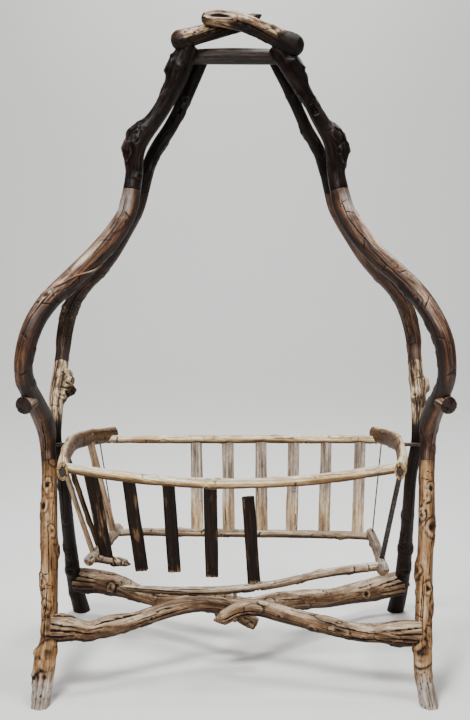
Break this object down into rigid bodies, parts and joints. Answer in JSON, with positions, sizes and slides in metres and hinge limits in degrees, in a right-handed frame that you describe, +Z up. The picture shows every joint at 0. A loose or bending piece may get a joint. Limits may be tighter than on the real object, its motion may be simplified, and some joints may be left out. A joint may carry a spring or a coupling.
{
  "type": "swinging log cradle",
  "caption": "Swinging cradle of crooked natural logs: two bowed side frames under a crossed-log crown carry a slatted basket that swings on iron pins.",
  "frame": {"origin": "on the floor, in the middle of the feet", "axes": "+Z up, +X to the cradle's right as seen from its front, +Y from its front to its rear"},
  "size_m": [1.0366, 0.6714, 1.6074],
  "materials": {
    "arch_wood": "oiled crooked log, chestnut",
    "crown_wood": "weathered log, cream on top and dark below",
    "dark_slat_wood": "split board, very dark brown",
    "floor_wood": "weathered branch, whitish grey",
    "iron": "blackened iron",
    "leg_wood": "weathered debarked log, dry golden brown",
    "pale_slat_wood": "split board, bleached grey",
    "peg_wood": "whittled peg",
    "rafter_wood": "dark log with thin smooth bark",
    "rear_leg_wood": "weathered log, dark brown",
    "ridge_wood": "dark brown weathered log",
    "rim_wood": "peeled branch, ivory",
    "stretcher_wood": "dry driftwood, grey tan"
  },
  "bodies": {
    "frame": {"crown_log_left": "crown_wood", "crown_log_right": "crown_wood", "crown_nail_left": "iron", "crown_nail_right": "iron", "crown_peg": "peg_wood", "front_left_arch": "arch_wood", "front_left_leg": "leg_wood", "front_left_rafter": "rafter_wood", "front_left_stretcher": "stretcher_wood", "front_left_stretcher_spike": "iron", "front_right_arch": "arch_wood", "front_right_leg": "leg_wood", "front_right_rafter": "rafter_wood", "front_right_stretcher": "stretcher_wood", "front_right_stretcher_spike": "iron", "pivot_pin_left": "iron", "pivot_pin_right": "iron", "rear_left_arch": "arch_wood", "rear_left_leg": "rear_leg_wood", "rear_left_rafter": "rafter_wood", "rear_left_stretcher": "stretcher_wood", "rear_left_stretcher_spike": "iron", "rear_right_arch": "arch_wood", "rear_right_leg": "rear_leg_wood", "rear_right_rafter": "rafter_wood", "rear_right_stretcher": "stretcher_wood", "rear_right_stretcher_spike": "iron", "ridge_rail": "ridge_wood", "stretcher_peg": "peg_wood", "waist_bolt_left": "iron", "waist_bolt_right": "iron"},
    "basket": {"basket_end_log_left": "rim_wood", "basket_end_log_right": "rim_wood", "broken_floor_rail": "floor_wood", "corner_bolt_left": "iron", "corner_bolt_right": "iron", "corner_post": "pale_slat_wood", "corner_rod": "iron", "end_post": "dark_slat_wood", "floor_end_rail_left": "floor_wood", "floor_end_rail_right": "floor_wood", "floor_rail_stub": "floor_wood", "front_slat_1": "dark_slat_wood", "front_slat_2": "dark_slat_wood", "front_slat_3": "dark_slat_wood", "front_slat_4": "dark_slat_wood", "front_top_rail": "rim_wood", "loose_slat": "dark_slat_wood", "rear_corner_post": "pale_slat_wood", "rear_floor_rail": "floor_wood", "rear_slat_1": "pale_slat_wood", "rear_slat_2": "pale_slat_wood", "rear_slat_3": "pale_slat_wood", "rear_slat_4": "pale_slat_wood", "rear_slat_5": "pale_slat_wood", "rear_slat_6": "pale_slat_wood", "rear_top_rail": "rim_wood", "tie_wire_left": "iron", "tie_wire_right": "iron"}
  },
  "joints": [
    {"name": "basket_swing", "type": "hinge", "parent": "frame", "child": "basket", "pos_m": [0, 0, 0.522], "axis": [1, 0, 0], "range_deg": [-12, 12]}
  ]
}
